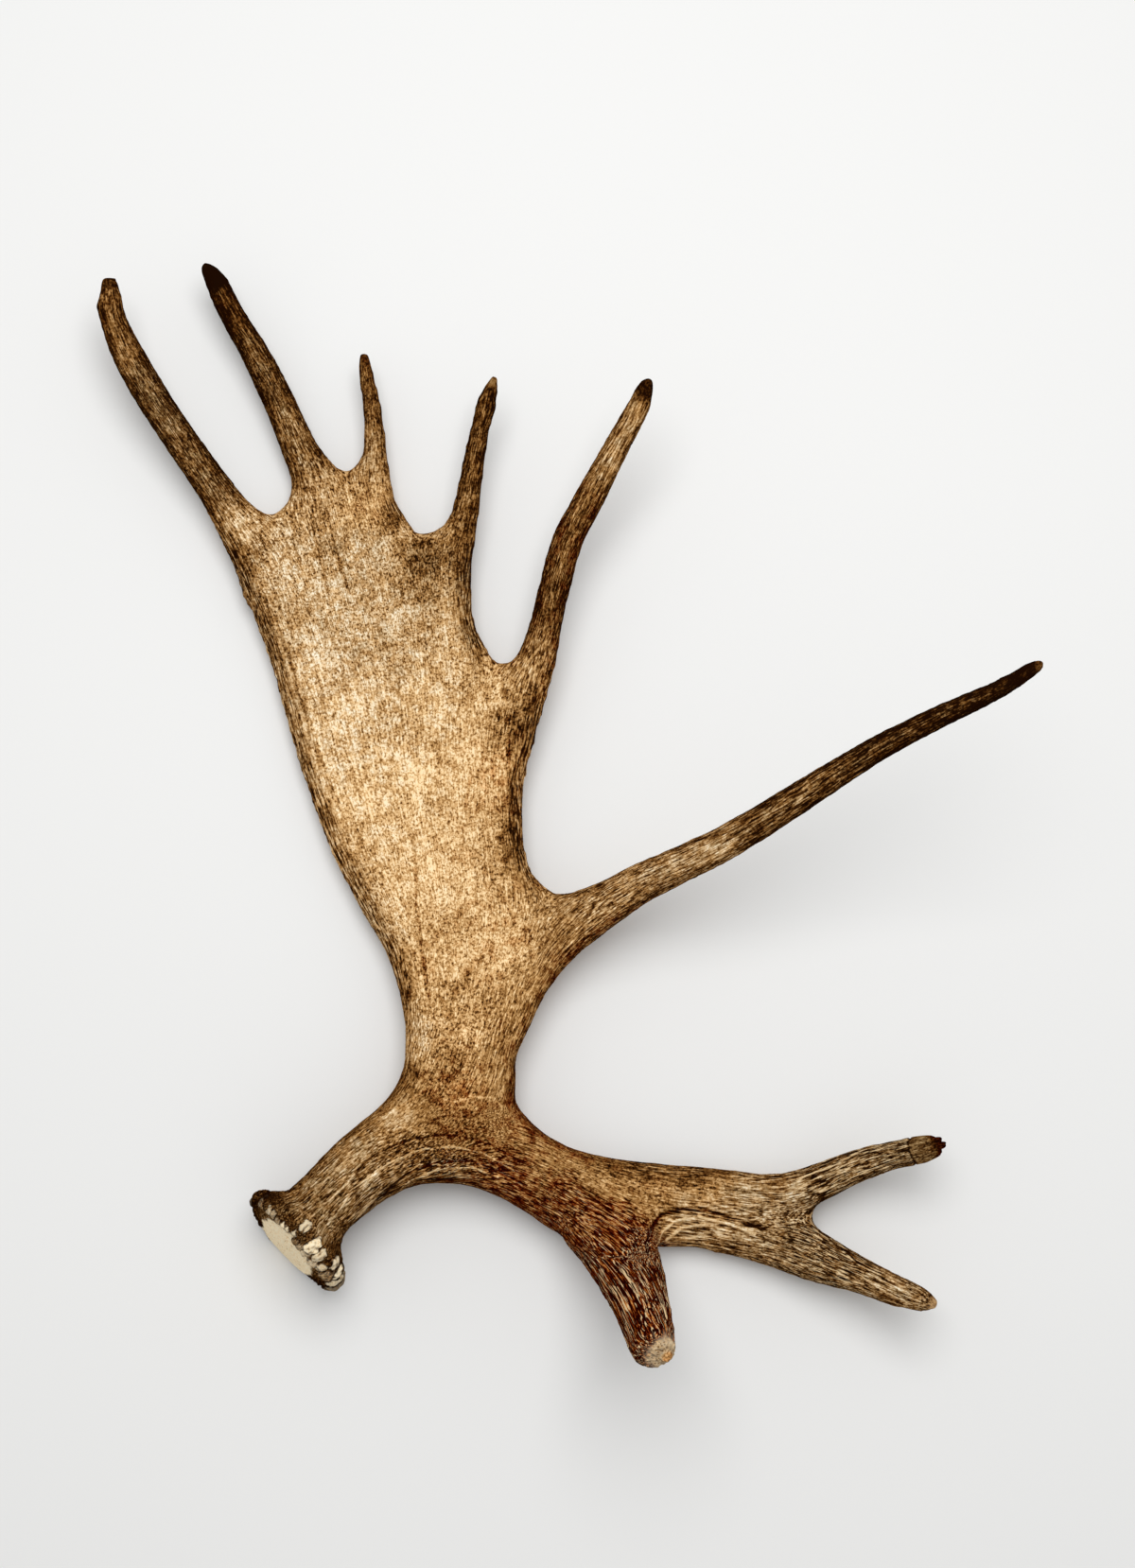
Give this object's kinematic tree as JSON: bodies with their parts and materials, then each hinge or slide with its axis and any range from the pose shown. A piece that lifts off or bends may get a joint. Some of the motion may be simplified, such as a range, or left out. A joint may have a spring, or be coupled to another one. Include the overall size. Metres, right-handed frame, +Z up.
{
  "type": "moose antler",
  "caption": "Shed moose antler with a dished palm, a fan of fingers, a long side point, a forked brow palm and a knobbly burr, lying on its back.",
  "frame": {"origin": "on the surface that the antler lies on, under the middle of its bounding box", "axes": "+Z up, out of the hollow of the palm; +Y up the palm towards its fingers; +X towards the brow points and the long point"},
  "size_m": [0.6732, 0.8072, 0.1958],
  "materials": {
    "bone_palm": "satin",
    "bone_beam": "satin",
    "bone_points": "satin",
    "bone_brow": "satin"
  },
  "bodies": {
    "root": {"burr_and_beam": "bone_beam", "main_palm": "bone_palm", "palm_finger_1": "bone_points", "palm_finger_2": "bone_points", "palm_finger_3": "bone_points", "palm_finger_4": "bone_points", "palm_finger_5": "bone_points", "long_point": "bone_points", "brow_palm": "bone_brow", "brow_point_1": "bone_brow", "brow_point_2": "bone_brow", "brow_point_3": "bone_brow"}
  },
  "joints": []
}
